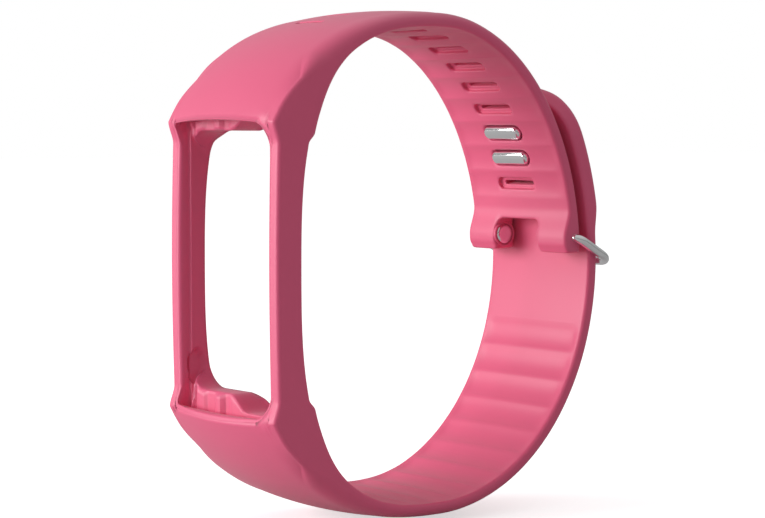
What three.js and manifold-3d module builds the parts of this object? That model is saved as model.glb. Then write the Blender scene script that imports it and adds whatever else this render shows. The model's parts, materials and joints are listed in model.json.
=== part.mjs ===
// Fitness tracker band: a silicone wristband with an open cradle for a slim tracker module, closed by
// a twin-stud clasp and a wire ring. Units are millimetres. X runs across the band, along the forearm;
// -Y is the front, where the tracker sits; +Z is up. The origin is the middle of the wrist hollow.

import * as THREE from 'three';
import { mergeVertices } from 'three/addons/utils/BufferGeometryUtils.js';
import Module from 'manifold-3d';

const wasm = await Module();
wasm.setup();

// Wrist hollow, an oval in the YZ plane
const HOLLOW_HALF_HEIGHT = 28.2;
const HOLLOW_FRONT = 21.6; // wrist centre to the back of the cradle
const HOLLOW_BACK = 20.0; // wrist centre to the inside of the upper strap at the clasp
const FRONT_POWER = 3.0; // superellipse power: the front half is squarer than an ellipse
const BACK_POWER = 2.0;

// Silicone band
const CRADLE_WIDTH = 23.2;
const STRAP_WIDTH = 19.4;
const TAPER_LENGTH = 22; // along each strap, from the cradle's width down to the strap's
const STRAP_THICKNESS = 2.4;
const TAIL_THICKNESS = 3.0;
const EDGE_DROP = 0.7; // the outer face is this much lower at its edges than along its middle
const EDGE_SOFTENING = 0.5; // the inner face's edges lift by this much
const EDGE_BAND = 1.3; // width of the softened edge
const WING_DEPTH = 8.2; // hollow's front to where the wings' outer curve would cross the front, uncut
const WING_REACH = HOLLOW_FRONT + WING_DEPTH;
const WING_POWER = 2.5;
const GAP = 0.3; // clearance between pieces that touch

// Cradle window
const RAIL_DEPTH = 3.8; // front to back, through a side rail
const RAIL_FRONT = HOLLOW_FRONT + RAIL_DEPTH; // wrist centre to the front face of the side rails
const LIP_BACK = 0.5; // the lips reach this far behind the rails' front
const LIP_HALF_HEIGHT = 17.2;
const LIP_DEPTH = 1.2;
const LIP_UNDERCUT = 0.9; // the seat runs this far behind each lip
const RAIL_SLOPE = 2.0; // height over which the rails rise to the lips
const SEAT_WIDTH = 19.0;
const SEAT_LEDGE = 0.4; // the rear of the rails stands in by this much on each side
const LEDGE_DEPTH = 2.3; // front to back length of that ledge
const REAR_TOP = 16.2; // the rear opening's rims lie this far above and below the wrist centre
const REAR_BOTTOM = 14.8;
const NOTCH_CENTRE = 4.3; // connector notch in both rear rims
const NOTCH_WIDTH = 6.0;
const NOTCH_TOP_RISE = 1.1;
const NOTCH_BOTTOM_RISE = 1.8;

// Button pad in the far rail
const PAD_LENGTH = 4.0;
const PAD_WIDTH = 1.6;
const PAD_THICKNESS = 0.8;
const PAD_HEIGHT = -12.2;

// Adjustment slots
const SLOT_COUNT = 13;
const SLOT_PITCH = 3.4;
const LAST_SLOT_FROM_END = 8.6;
const SLIT_LENGTH = 5.5;
const SLIT_HEIGHT = 0.9;
const RECESS_LENGTH = 7.4;
const RECESS_HEIGHT = 2.1;
const RECESS_DEPTH = 0.5;

// Strap end with its two ears
const END_ABOVE_CENTRE = 0.8; // the upper strap stops this far above the wrist centre
const EAR_SWELL = 1.2; // extra thickness towards the wrist
const EAR_SWELL_START = 6.5;
const EAR_SWELL_FULL = 3.0;
const EAR_NOTCH_WIDTH = 8.4;
const EAR_NOTCH_HEIGHT = 4.1;
const EAR_TIP_SHARE = 0.5; // the swell left at the very end of an ear
const EAR_TIP_LENGTH = 1.2;
const END_ROUNDING = 0.5; // the outer face falls by this much at the very end
const END_ROUNDING_LENGTH = 1.0;

// Wire ring and its end caps
const WIRE_RADIUS = 0.65;
const RING_AXIS_FROM_END = 1.9;
const RING_AXIS_OFFSET = 0.6; // outwards of the strap's inner face
const RING_CLEARANCE = 0.22; // the outer bar clears the lower strap's outer face by this much
const RING_DROP = 3.1; // the outer bar lies this far below the axis
const RING_CORNER = 2.0;
const RING_SIDE_GAP = 0.15;
// How far outwards of the axis the outer bar lies, past the two straps under it
const RING_OUT = 2 * STRAP_THICKNESS + GAP - RING_AXIS_OFFSET + RING_CLEARANCE + WIRE_RADIUS;
const RING_REACH = Math.hypot(RING_OUT, RING_DROP);
const CAP_RADIUS = 1.25;
const CAP_THICKNESS = 0.6;
const CAP_CLEARANCE = 0.15; // round each cap, in its counterbore in the ear
const CAP_SEAT = CAP_THICKNESS + GAP; // depth of that counterbore

// Clasp
const STUD_SLOTS = [2, 1]; // slots the studs sit in, counted from the one nearest the strap's end
const STUD_LENGTH = 6.9;
const STUD_WIDTH = 1.7;
const STUD_PROTRUSION = 0.2;
const PLATE_WIDTH = 10.0;
const PLATE_THICKNESS = 0.8;
const PLATE_RECESS = 0.25;
const PLATE_MARGIN = 2.4; // plate beyond the studs' middles, along the strap
const TAIL_FROM_END = 2.0; // the tail leaves the lower strap this far above the upper strap's end
const TAIL_LENGTH = 17.4;
const TAIL_TIP = 6.0; // length of the rounded tip
const TAIL_TIP_WIDTH = 0.55; // width left at the very tip, as a share
const TAIL_TIP_THINNING = 0.5; // share of the thickness lost at the very tip
const TAIL_TIP_THINNING_LENGTH = 1.5;
const TAIL_THICKENING = 3.0; // the tail reaches its full thickness over this length

// Flex zones
const LOWER_ZONE = 17.0; // length of each of the first two zones of the lower strap
const UPPER_CUTS = [SLOT_COUNT - 0.5, 7.5, 3.5]; // slot pitches from the last slot to each flex line

// Fineness of the curved surfaces
const ARC_DIVISIONS = 600;
const SECTION_STEP = 2.0;
const SLOTTED_STEP = 1.6;
const TAIL_STEP = 1.5;
const CROWN_STEPS = 6;
const STADIUM_SEGMENTS = 6;
const BORE_SEGMENTS = 12;
const WIRE_SEGMENTS = 5;
const RING_STEPS = 60;
const CAP_SEGMENTS = 24;
const CUT_MARGIN = 1; // cutters run this far past what they cut
const EPSILON = 1e-6;

const silicone = new THREE.MeshStandardMaterial({ color: 0xe8567f, roughness: 0.55, metalness: 0 });
const steel = new THREE.MeshStandardMaterial({ color: 0xd8dadd, roughness: 0.12, metalness: 1 });

// A quarter-symmetric oval walked from the front: over the wrist with side 1, under it with side -1.
class OvalPath extends THREE.Curve {
  constructor(side, back, endAngle) {
    super();
    this.side = side;
    this.back = back;
    this.endAngle = endAngle;
    this.arcLengthDivisions = ARC_DIVISIONS;
  }

  getPoint(t) {
    const angle = t * this.endAngle;
    const [c, s] = [Math.cos(angle), Math.sin(angle)];
    const power = 2 / (c > 0 ? FRONT_POWER : BACK_POWER);
    const depth = c > 0 ? HOLLOW_FRONT : this.back;
    const across = -Math.sign(c) * depth * Math.abs(c) ** power;
    const up = Math.sign(s) * HOLLOW_HALF_HEIGHT * Math.abs(s) ** power;
    return new THREE.Vector2(across, this.side * up);
  }
}

const LOWER_BACK = HOLLOW_BACK + STRAP_THICKNESS + GAP;
const upperPath = new OvalPath(1, HOLLOW_BACK, Math.PI);
const TAIL_BASE_HEIGHT = END_ABOVE_CENTRE + TAIL_FROM_END;
const lowerSweep = Math.PI + Math.asin(TAIL_BASE_HEIGHT / HOLLOW_HALF_HEIGHT);
const lowerPath = new OvalPath(-1, LOWER_BACK, lowerSweep);
const upperEnd = upperPath.getLength() - END_ABOVE_CENTRE;

// Point and outward normal of a path at a distance walked from the front.
function station(path, distance) {
  const u = distance / path.getLength();
  const tangent = path.getTangentAt(u);
  const normal = new THREE.Vector2(-tangent.y, tangent.x).multiplyScalar(path.side);
  return { point: path.getPointAt(u), normal };
}

function slotDistance(pitches) {
  return upperEnd - LAST_SLOT_FROM_END - pitches * SLOT_PITCH;
}

const [ROOT, UPPER_MIDDLE, UPPER_LAST] = UPPER_CUTS.map(slotDistance);
const TAIL_BASE = upperEnd - TAIL_FROM_END;

// Thickness of the silicone at a station: the strap's own, or out to the wings' curve at the front.
function thicknessAt({ point, normal }) {
  if (point.x >= 0) return STRAP_THICKNESS;
  const outerHeight = HOLLOW_HALF_HEIGHT + STRAP_THICKNESS;
  let [low, high] = [0, WING_REACH];
  while (high - low > EPSILON) {
    const middle = (low + high) / 2;
    const y = Math.abs(point.x + normal.x * middle) / WING_REACH;
    const z = Math.abs(point.y + normal.y * middle) / outerHeight;
    if (y ** WING_POWER + z ** WING_POWER < 1) low = middle;
    else high = middle;
  }
  return low;
}

function halfWidthAt(distance) {
  const taper = THREE.MathUtils.smoothstep(distance, ROOT, ROOT + TAPER_LENGTH);
  return THREE.MathUtils.lerp(CRADLE_WIDTH, STRAP_WIDTH, taper) / 2;
}

// One cross-section: flat inside with softened edges, crowned outside. Offsets run along the normal.
function crossSection({ point, normal }, halfWidth, inner, outer) {
  const at = (x, offset) => [x, point.x + normal.x * offset, point.y + normal.y * offset];
  const softening = Math.min(EDGE_SOFTENING, (outer - inner) / 4);
  const drop = Math.min(EDGE_DROP, (outer - inner) / 3);
  const ring = [
    at(-halfWidth, inner + softening),
    at(-halfWidth + EDGE_BAND, inner),
    at(halfWidth - EDGE_BAND, inner),
    at(halfWidth, inner + softening),
  ];
  for (let k = 0; k <= CROWN_STEPS; k++) {
    const f = 1 - (2 * k) / CROWN_STEPS;
    ring.push(at(f * halfWidth, outer - drop * f * f));
  }
  return ring;
}

// A closed solid through cross-sections that all have the same number of points.
function loft(sections) {
  const count = sections[0].length;
  const last = (sections.length - 1) * count;
  const index = [];
  for (let start = 0; start < last; start += count) {
    for (let j = 0; j < count; j++) {
      const [a, b] = [start + j, start + ((j + 1) % count)];
      index.push(a, b, b + count, a, b + count, a + count);
    }
  }
  for (let j = 1; j < count - 1; j++) {
    index.push(0, j + 1, j);
    index.push(last, last + j, last + j + 1);
  }
  const geometry = new THREE.BufferGeometry();
  geometry.setAttribute('position', new THREE.Float32BufferAttribute(sections.flat(2), 3));
  geometry.setIndex(index);
  return geometry;
}

// Distances from one end of a stretch to the other, no further apart than the section step.
function steps(from, to, step = SECTION_STEP) {
  const count = Math.max(1, Math.ceil(Math.abs(to - from) / step));
  return Array.from({ length: count + 1 }, (_, k) => THREE.MathUtils.lerp(from, to, k / count));
}

// A stretch of strap along a path. shape(distance) gives halfWidth, inner and outer.
function ribbon(path, distances, shape) {
  const sections = distances.map((distance) => {
    const { halfWidth, inner, outer } = shape(distance);
    return crossSection(station(path, distance), halfWidth, inner, outer);
  });
  if (path.side > 0) sections.reverse();
  return loft(sections);
}

function toSolid(geometry) {
  const bare = geometry.clone();
  bare.deleteAttribute('normal');
  bare.deleteAttribute('uv');
  const merged = mergeVertices(bare, 1e-4);
  const vertProperties = new Float32Array(merged.attributes.position.array);
  const triVerts = new Uint32Array(merged.index.array);
  return new wasm.Manifold(new wasm.Mesh({ numProp: 3, vertProperties, triVerts }));
}

function toGeometry(solid) {
  const { vertProperties, triVerts } = solid.getMesh();
  const geometry = new THREE.BufferGeometry();
  geometry.setAttribute('position', new THREE.BufferAttribute(vertProperties, 3));
  geometry.setIndex(new THREE.BufferAttribute(triVerts, 1));
  return geometry;
}

function cut(geometry, cutters) {
  const body = cutters.reduce((solid, cutter) => solid.subtract(toSolid(cutter)), toSolid(geometry));
  return toGeometry(body);
}

// A stadium-shaped block: long along X, its depth along +Z from the given start.
function stadium(length, height, start, end) {
  const [radius, reach] = [height / 2, (length - height) / 2];
  const shape = new THREE.Shape();
  shape.absarc(reach, 0, radius, -Math.PI / 2, Math.PI / 2);
  shape.absarc(-reach, 0, radius, Math.PI / 2, (3 * Math.PI) / 2);
  const options = { depth: end - start, bevelEnabled: false, curveSegments: STADIUM_SEGMENTS };
  return new THREE.ExtrudeGeometry(shape, options).translate(0, 0, start);
}

// Turns a block that was made along +Z so that it stands along a station's normal.
function standAt(geometry, { point, normal }) {
  return geometry.rotateX(Math.atan2(-normal.x, normal.y)).translate(0, point.x, point.y);
}

// A bar across the band whose end view is an outline in the YZ plane.
function crossBar(outline, width, centre = 0) {
  const shape = new THREE.Shape(outline.map(([y, z]) => new THREE.Vector2(y, z)));
  const bar = new THREE.ExtrudeGeometry(shape, { depth: width, bevelEnabled: false });
  bar.rotateY(Math.PI / 2).rotateX(Math.PI / 2);
  return bar.translate(centre - width / 2, 0, 0);
}

// Everything the cradle loses: the space in front of the rails, the tracker's seat and rear opening.
function cradleCutters() {
  const front = -WING_REACH - CUT_MARGIN;
  const lipBack = -(RAIL_FRONT - LIP_BACK);
  const ledge = -HOLLOW_FRONT - LEDGE_DEPTH;
  const behind = -HOLLOW_FRONT / 2;
  const railTop = LIP_HALF_HEIGHT - RAIL_SLOPE;
  const railCut = [
    [front, LIP_HALF_HEIGHT],
    [-(RAIL_FRONT + LIP_DEPTH), LIP_HALF_HEIGHT],
    [-RAIL_FRONT, railTop],
    [-RAIL_FRONT, -railTop],
    [-(RAIL_FRONT + LIP_DEPTH), -LIP_HALF_HEIGHT],
    [front, -LIP_HALF_HEIGHT],
  ];
  const block = (start, end, bottom, top) => [
    [start, top],
    [end, top],
    [end, -bottom],
    [start, -bottom],
  ];
  const undercut = LIP_HALF_HEIGHT + LIP_UNDERCUT;
  const [notchBottom, notchTop] = [REAR_BOTTOM + NOTCH_BOTTOM_RISE, REAR_TOP + NOTCH_TOP_RISE];
  return [
    crossBar(railCut, CRADLE_WIDTH * 2),
    crossBar(block(front, lipBack + EPSILON, LIP_HALF_HEIGHT, LIP_HALF_HEIGHT), SEAT_WIDTH),
    crossBar(block(lipBack, ledge, undercut, undercut), SEAT_WIDTH),
    crossBar(block(ledge - EPSILON, behind, REAR_BOTTOM, REAR_TOP), SEAT_WIDTH - 2 * SEAT_LEDGE),
    crossBar(block(ledge - EPSILON, behind, notchBottom, notchTop), NOTCH_WIDTH, NOTCH_CENTRE),
  ];
}

// An upright stadium block through the far rail, centred where the button pad sits.
function padBlock(length, width, outerX, innerX) {
  const block = stadium(length, width, 0, innerX - outerX);
  block.rotateZ(Math.PI / 2).rotateY(Math.PI / 2).rotateX(Math.PI / 2);
  return block.translate(outerX, -(HOLLOW_FRONT + RAIL_FRONT) / 2, PAD_HEIGHT);
}

function trackerFrame() {
  const reach = ROOT - GAP / 2;
  const below = steps(reach, 0).map((distance) => station(lowerPath, distance));
  const above = steps(0, reach).map((distance) => station(upperPath, distance));
  const sections = [...below.slice(0, -1), ...above].map((place) =>
    crossSection(place, CRADLE_WIDTH / 2, 0, thicknessAt(place))
  );
  const padHole = padBlock(PAD_LENGTH + 2 * GAP, PAD_WIDTH + 2 * GAP, -CRADLE_WIDTH, -CRADLE_WIDTH / 4);
  return cut(loft(sections.reverse()), [...cradleCutters(), padHole]);
}

function buttonPad() {
  return padBlock(PAD_LENGTH, PAD_WIDTH, -CRADLE_WIDTH / 2, -CRADLE_WIDTH / 2 + PAD_THICKNESS);
}

// A slot cutter at a distance: the narrow slit with its recess, or the full opening round a stud.
function slotCutters(number) {
  const place = station(upperPath, slotDistance(number));
  const [start, end] = [-EAR_SWELL - CUT_MARGIN, STRAP_THICKNESS + CUT_MARGIN];
  if (STUD_SLOTS.includes(number)) {
    const opening = stadium(STUD_LENGTH + 2 * GAP, STUD_WIDTH + 2 * GAP, start, end);
    return [standAt(opening, place)];
  }
  const slit = standAt(stadium(SLIT_LENGTH, SLIT_HEIGHT, start, end), place);
  const recess = standAt(stadium(RECESS_LENGTH, RECESS_HEIGHT, start, RECESS_DEPTH), place);
  return [slit, recess];
}

function upperStrap(from, to, extraCutters = []) {
  const shape = (distance) => ({
    halfWidth: halfWidthAt(distance),
    inner: -EAR_SWELL * earSwell(upperEnd - distance),
    outer: thicknessAt(station(upperPath, distance)) - endRounding(upperEnd - distance),
  });
  const numbers = Array.from({ length: SLOT_COUNT }, (_, number) => number);
  const inZone = numbers.filter((n) => slotDistance(n) > from && slotDistance(n) < to);
  const solid = ribbon(upperPath, steps(from + GAP / 2, to, SLOTTED_STEP), shape);
  return cut(solid, [...inZone.flatMap(slotCutters), ...extraCutters]);
}

// Share of the ears' full swell at a distance from the strap's end; the end itself is rounded off.
function earSwell(fromEnd) {
  const grown = 1 - THREE.MathUtils.smoothstep(fromEnd, EAR_SWELL_FULL, EAR_SWELL_START);
  const beyondTip = THREE.MathUtils.smoothstep(fromEnd, 0, EAR_TIP_LENGTH);
  return grown * THREE.MathUtils.lerp(EAR_TIP_SHARE, 1, beyondTip);
}

function endRounding(fromEnd) {
  return END_ROUNDING * (1 - THREE.MathUtils.smoothstep(fromEnd, 0, END_ROUNDING_LENGTH));
}

// The ring turns about this axis, which lies inside the two ears.
function ringAxis() {
  const { point, normal } = station(upperPath, upperEnd - RING_AXIS_FROM_END);
  return point.clone().addScaledVector(normal, RING_AXIS_OFFSET);
}

function earCutters() {
  const axis = ringAxis();
  const boreRadius = WIRE_RADIUS + GAP;
  const bore = new THREE.CylinderGeometry(boreRadius, boreRadius, CRADLE_WIDTH, BORE_SEGMENTS);
  const seatRadius = CAP_RADIUS + CAP_CLEARANCE;
  const seatsLength = EAR_NOTCH_WIDTH + 2 * CAP_SEAT;
  const seats = new THREE.CylinderGeometry(seatRadius, seatRadius, seatsLength, CAP_SEGMENTS);
  for (const hole of [bore, seats]) hole.rotateZ(Math.PI / 2).translate(0, axis.x, axis.y);
  const through = 2 * (EAR_SWELL + STRAP_THICKNESS + CUT_MARGIN);
  const notch = new THREE.BoxGeometry(EAR_NOTCH_WIDTH, through, 2 * EAR_NOTCH_HEIGHT);
  notch.translate(0, axis.x, END_ABOVE_CENTRE);
  return [bore, seats, notch];
}

function lowerStrap(from, to) {
  const shape = (distance) => ({
    halfWidth: halfWidthAt(distance),
    inner: 0,
    outer: thicknessAt(station(lowerPath, distance)),
  });
  return ribbon(lowerPath, steps(from + GAP / 2, to - GAP / 2), shape);
}

const TAIL_INNER = STRAP_THICKNESS + GAP;
const TAIL_END = TAIL_BASE - TAIL_LENGTH;

// The tail lies on the outside of the upper strap, so it is built along the upper strap's path.
function tailShape(distance) {
  const fromTip = distance - TAIL_END;
  const tip = Math.min(1, fromTip / TAIL_TIP);
  const width = THREE.MathUtils.lerp(TAIL_TIP_WIDTH, 1, Math.sqrt(1 - (1 - tip) ** 2));
  const fullness = THREE.MathUtils.smoothstep(TAIL_BASE - distance, 0, TAIL_THICKENING);
  const thickness = THREE.MathUtils.lerp(STRAP_THICKNESS, TAIL_THICKNESS, fullness);
  const thinned = 1 - THREE.MathUtils.smoothstep(fromTip, 0, TAIL_TIP_THINNING_LENGTH);
  return {
    halfWidth: (width * STRAP_WIDTH) / 2,
    inner: TAIL_INNER,
    outer: TAIL_INNER + thickness * (1 - TAIL_TIP_THINNING * thinned),
  };
}

const PLATE_START = slotDistance(Math.max(...STUD_SLOTS)) - PLATE_MARGIN;
const PLATE_END = slotDistance(Math.min(...STUD_SLOTS)) + PLATE_MARGIN;

function strapTail() {
  const body = ribbon(upperPath, steps(TAIL_END, TAIL_BASE - GAP / 2, TAIL_STEP), tailShape);
  const pocket = curvedPlate(GAP, TAIL_INNER - GAP / 2, TAIL_INNER + PLATE_RECESS + PLATE_THICKNESS + GAP);
  return cut(body, [pocket]);
}

// A curved plate with square edges, grown by a margin on its four sides.
function curvedPlate(margin, inner, outer) {
  const half = PLATE_WIDTH / 2 + margin;
  const sections = steps(PLATE_END + margin, PLATE_START - margin).map((distance) => {
    const { point, normal } = station(upperPath, distance);
    const at = (x, offset) => [x, point.x + normal.x * offset, point.y + normal.y * offset];
    return [at(-half, inner), at(half, inner), at(half, outer), at(-half, outer)];
  });
  return loft(sections);
}

function claspPlate() {
  return curvedPlate(0, TAIL_INNER + PLATE_RECESS, TAIL_INNER + PLATE_RECESS + PLATE_THICKNESS);
}

function claspStud(number) {
  const foot = TAIL_INNER + PLATE_RECESS - GAP;
  const stud = stadium(STUD_LENGTH, STUD_WIDTH, -STUD_PROTRUSION, foot);
  return standAt(stud, station(upperPath, slotDistance(number)));
}

// The ring is one wire bent into a C: its two ends stop inside the ears, behind their caps.
function buckleRing() {
  const axis = ringAxis();
  const at = (x, reach) => {
    const share = reach / RING_REACH;
    return new THREE.Vector3(x, axis.x + RING_OUT * share, axis.y - RING_DROP * share);
  };
  const side = STRAP_WIDTH / 2 + RING_SIDE_GAP + WIRE_RADIUS;
  const end = EAR_NOTCH_WIDTH / 2 + CAP_SEAT;
  const path = new THREE.CurvePath();
  for (const hand of [1, -1]) {
    const corner = (x1, r1, cx, cr, x2, r2) =>
      new THREE.QuadraticBezierCurve3(at(hand * x1, r1), at(hand * cx, cr), at(hand * x2, r2));
    const half = [
      new THREE.LineCurve3(at(hand * end, 0), at(hand * (side - RING_CORNER / 2), 0)),
      corner(side - RING_CORNER / 2, 0, side, 0, side, RING_CORNER / 2),
      new THREE.LineCurve3(at(hand * side, RING_CORNER / 2), at(hand * side, RING_REACH - RING_CORNER)),
      corner(side, RING_REACH - RING_CORNER, side, RING_REACH, side - RING_CORNER, RING_REACH),
      new THREE.LineCurve3(at(hand * (side - RING_CORNER), RING_REACH), at(0, RING_REACH)),
    ];
    path.curves.push(...(hand > 0 ? half : half.reverse().map(backwards)));
  }
  const section = new THREE.Shape().absarc(0, 0, WIRE_RADIUS, 0, 2 * Math.PI);
  const options = { steps: RING_STEPS, extrudePath: path, curveSegments: WIRE_SEGMENTS };
  return new THREE.ExtrudeGeometry(section, options);
}

function backwards(curve) {
  if (curve.isLineCurve3) return new THREE.LineCurve3(curve.v2, curve.v1);
  return new THREE.QuadraticBezierCurve3(curve.v2, curve.v1, curve.v0);
}

function ringCap(hand) {
  const axis = ringAxis();
  const cap = new THREE.CylinderGeometry(CAP_RADIUS, CAP_RADIUS, CAP_THICKNESS, CAP_SEGMENTS);
  const x = (EAR_NOTCH_WIDTH + CAP_THICKNESS) / 2;
  return cap.rotateZ(Math.PI / 2).translate(hand * x, axis.x, axis.y);
}

const band = new THREE.Group();

function add(name, geometry, material) {
  const mesh = new THREE.Mesh(geometry, material);
  mesh.name = name;
  band.add(mesh);
}

const LOWER_LAST = ROOT + 2 * LOWER_ZONE;
add('tracker_frame', trackerFrame(), silicone);
add('button_pad', buttonPad(), silicone);
add('upper_strap_root', upperStrap(ROOT, UPPER_MIDDLE - GAP / 2), silicone);
add('upper_strap_middle', upperStrap(UPPER_MIDDLE, UPPER_LAST - GAP / 2), silicone);
add('upper_strap_end', upperStrap(UPPER_LAST, upperEnd, earCutters()), silicone);
add('buckle_ring', buckleRing(), steel);
add('ring_cap_near', ringCap(1), steel);
add('ring_cap_far', ringCap(-1), steel);
add('lower_strap_root', lowerStrap(ROOT, ROOT + LOWER_ZONE), silicone);
add('lower_strap_middle', lowerStrap(ROOT + LOWER_ZONE, LOWER_LAST), silicone);
add('lower_strap_end', lowerStrap(LOWER_LAST, lowerPath.getLength()), silicone);
add('strap_tail', strapTail(), silicone);
add('clasp_plate', claspPlate(), steel);
add('clasp_stud_upper', claspStud(STUD_SLOTS[0]), steel);
add('clasp_stud_lower', claspStud(STUD_SLOTS[1]), steel);

export default band;
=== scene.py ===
import json
import math

import bpy
import numpy as np
from mathutils import Matrix, Vector


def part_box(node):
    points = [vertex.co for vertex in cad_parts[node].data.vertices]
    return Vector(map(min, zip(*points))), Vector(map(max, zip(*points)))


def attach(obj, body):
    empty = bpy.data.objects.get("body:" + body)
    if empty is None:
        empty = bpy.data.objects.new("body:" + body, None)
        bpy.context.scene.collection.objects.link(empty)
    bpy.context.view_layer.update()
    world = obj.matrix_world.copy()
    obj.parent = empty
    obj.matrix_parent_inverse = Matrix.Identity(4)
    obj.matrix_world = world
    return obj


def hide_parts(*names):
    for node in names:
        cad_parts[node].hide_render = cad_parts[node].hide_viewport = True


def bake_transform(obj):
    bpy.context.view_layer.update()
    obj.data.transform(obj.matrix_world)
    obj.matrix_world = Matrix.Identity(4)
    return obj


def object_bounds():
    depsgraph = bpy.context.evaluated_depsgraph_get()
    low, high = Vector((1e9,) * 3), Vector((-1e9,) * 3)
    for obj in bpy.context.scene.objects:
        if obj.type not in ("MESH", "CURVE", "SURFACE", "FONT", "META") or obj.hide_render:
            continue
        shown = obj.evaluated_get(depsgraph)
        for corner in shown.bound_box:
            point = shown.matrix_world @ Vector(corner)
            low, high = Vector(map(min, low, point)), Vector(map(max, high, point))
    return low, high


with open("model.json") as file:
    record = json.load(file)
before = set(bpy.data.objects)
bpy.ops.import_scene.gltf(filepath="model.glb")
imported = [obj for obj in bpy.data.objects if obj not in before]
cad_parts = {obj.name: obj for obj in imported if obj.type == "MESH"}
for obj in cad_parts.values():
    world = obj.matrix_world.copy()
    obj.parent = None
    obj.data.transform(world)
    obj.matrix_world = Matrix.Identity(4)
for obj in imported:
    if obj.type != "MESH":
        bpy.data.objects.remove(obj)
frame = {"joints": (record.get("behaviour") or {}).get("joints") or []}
cad_box = [list(corner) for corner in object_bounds()]

# Millimetres throughout; meshes are scaled to metres when they are made.
MM = 0.001

# The wrist hollow: the same oval as the CAD straps follow
HALF_HEIGHT = 28.2
HOLLOW_FRONT = 21.6
HOLLOW_BACK = 20.0
FRONT_POWER = 3.0
BACK_POWER = 2.0
WING_REACH = 29.8
WING_POWER = 2.5
THICKNESS = 2.4
TAIL_THICKNESS = 3.0
GAP = 0.3
END_ABOVE_CENTRE = 0.8
TAIL_BASE_HEIGHT = 2.8
SLOT_COUNT = 13
SLOT_PITCH = 3.4
LAST_SLOT_FROM_END = 8.6
STUD_SLOTS = (1, 2)
LOWER_ZONE = 17.0
CRADLE_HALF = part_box("tracker_frame")[1].x / MM
STRAP_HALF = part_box("strap_tail")[1].x / MM
SKIN_INSET = 0.03  # the skin stays this far inside the CAD sides
TAIL_FROM_END = 2.0
TAIL_LENGTH = 17.4

JOINTS = {joint["name"]: joint for joint in frame["joints"]}


def ramp(x, start, end):
    t = np.clip((np.asarray(x, float) - start) / (end - start), 0, 1)
    return t * t * (3 - 2 * t)


def lerp(a, b, t):
    return a + (b - a) * t


# ---------------------------------------------------------------- the band's path


def oval(angle, back):
    c, s = np.cos(angle), np.sin(angle)
    power = np.where(c > 0, 2 / FRONT_POWER, 2 / BACK_POWER)
    y = -np.sign(c) * np.where(c > 0, HOLLOW_FRONT, back) * np.abs(c) ** power
    z = np.sign(s) * HALF_HEIGHT * np.abs(s) ** power
    return y, z


class Path:
    """The inner face's centre line in the YZ plane, by distance s from the front: + up, - down."""

    STEP = 0.05

    def __init__(self):
        upper_y, upper_z = oval(np.linspace(0, math.pi + 0.1, 8001), HOLLOW_BACK)
        lower_end = math.pi + math.asin(TAIL_BASE_HEIGHT / HALF_HEIGHT)
        lower_y, lower_z = oval(np.linspace(lower_end, 0, 8001), HOLLOW_BACK + THICKNESS + GAP)
        tail_y, tail_z = oval(np.linspace(math.pi - 1.1, math.pi, 4001), HOLLOW_BACK)
        ny, nz = self.outward(tail_y, tail_z)
        tail_y, tail_z = tail_y + (THICKNESS + GAP) * ny, tail_z + (THICKNESS + GAP) * nz
        keep = tail_z > TAIL_BASE_HEIGHT + 0.2
        tail_y, tail_z = tail_y[keep], tail_z[keep]
        y = np.concatenate([tail_y, lower_y[:-1], upper_y])
        z = np.concatenate([tail_z, -lower_z[:-1], upper_z])
        s = np.concatenate([[0], np.cumsum(np.hypot(np.diff(y), np.diff(z)))])
        s -= s[len(tail_y) + len(lower_y) - 1]
        self.s = np.arange(s[0], s[-1], self.STEP)
        self.y, self.z = np.interp(self.s, s, y), np.interp(self.s, s, z)
        reach = int(3.0 / self.STEP)
        window = np.exp(-0.5 * (np.arange(-reach, reach + 1) * self.STEP / 1.2) ** 2)
        window /= window.sum()
        self.y, self.z = (self.smoothed(v, window, reach) for v in (self.y, self.z))
        self.ny, self.nz = self.outward(self.y, self.z)

    @staticmethod
    def outward(y, z):
        ty, tz = np.gradient(y), np.gradient(z)
        length = np.hypot(ty, tz)
        return -tz / length, ty / length

    @staticmethod
    def smoothed(values, window, reach):
        inner = np.convolve(values, window, "valid")
        return np.concatenate([values[:reach], inner, values[-reach:]])

    def at(self, s):
        return tuple(np.interp(s, self.s, v) for v in (self.y, self.z, self.ny, self.nz))

    def point(self, x, s, offset):
        """Row-frame points in mm for strap coordinates: across, along, out of the inner face."""
        x, s, offset = np.broadcast_arrays(x, s, offset)
        y, z, ny, nz = self.at(s)
        return np.stack([x, y + ny * offset, z + nz * offset], -1).reshape(-1, 3)


path = Path()


def distance_at(y, z, low, high):
    """Distance along the path nearest to a point, searched between two distances."""
    inside = (path.s > low) & (path.s < high)
    gap = np.hypot(path.y - y, path.z - z)
    return float(path.s[np.argmin(np.where(inside, gap, 1e9))])


END = distance_at(HOLLOW_BACK, END_ABOVE_CENTRE, 60, 120)


def slot_distance(pitches):
    return END - LAST_SLOT_FROM_END - pitches * SLOT_PITCH


ROOT = slot_distance(12.5)
TAIL_BASE = distance_at(HOLLOW_BACK + THICKNESS + GAP, TAIL_BASE_HEIGHT, -110, -70)
tip_y, tip_z, tip_ny, tip_nz = path.at(END - TAIL_FROM_END - TAIL_LENGTH)
TAIL_TIP = distance_at(tip_y + (THICKNESS + GAP) * tip_ny, tip_z + (THICKNESS + GAP) * tip_nz, -130, -90)
CRADLE_CUT = 21.3


# ---------------------------------------------------------------- the silicone's form

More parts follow.
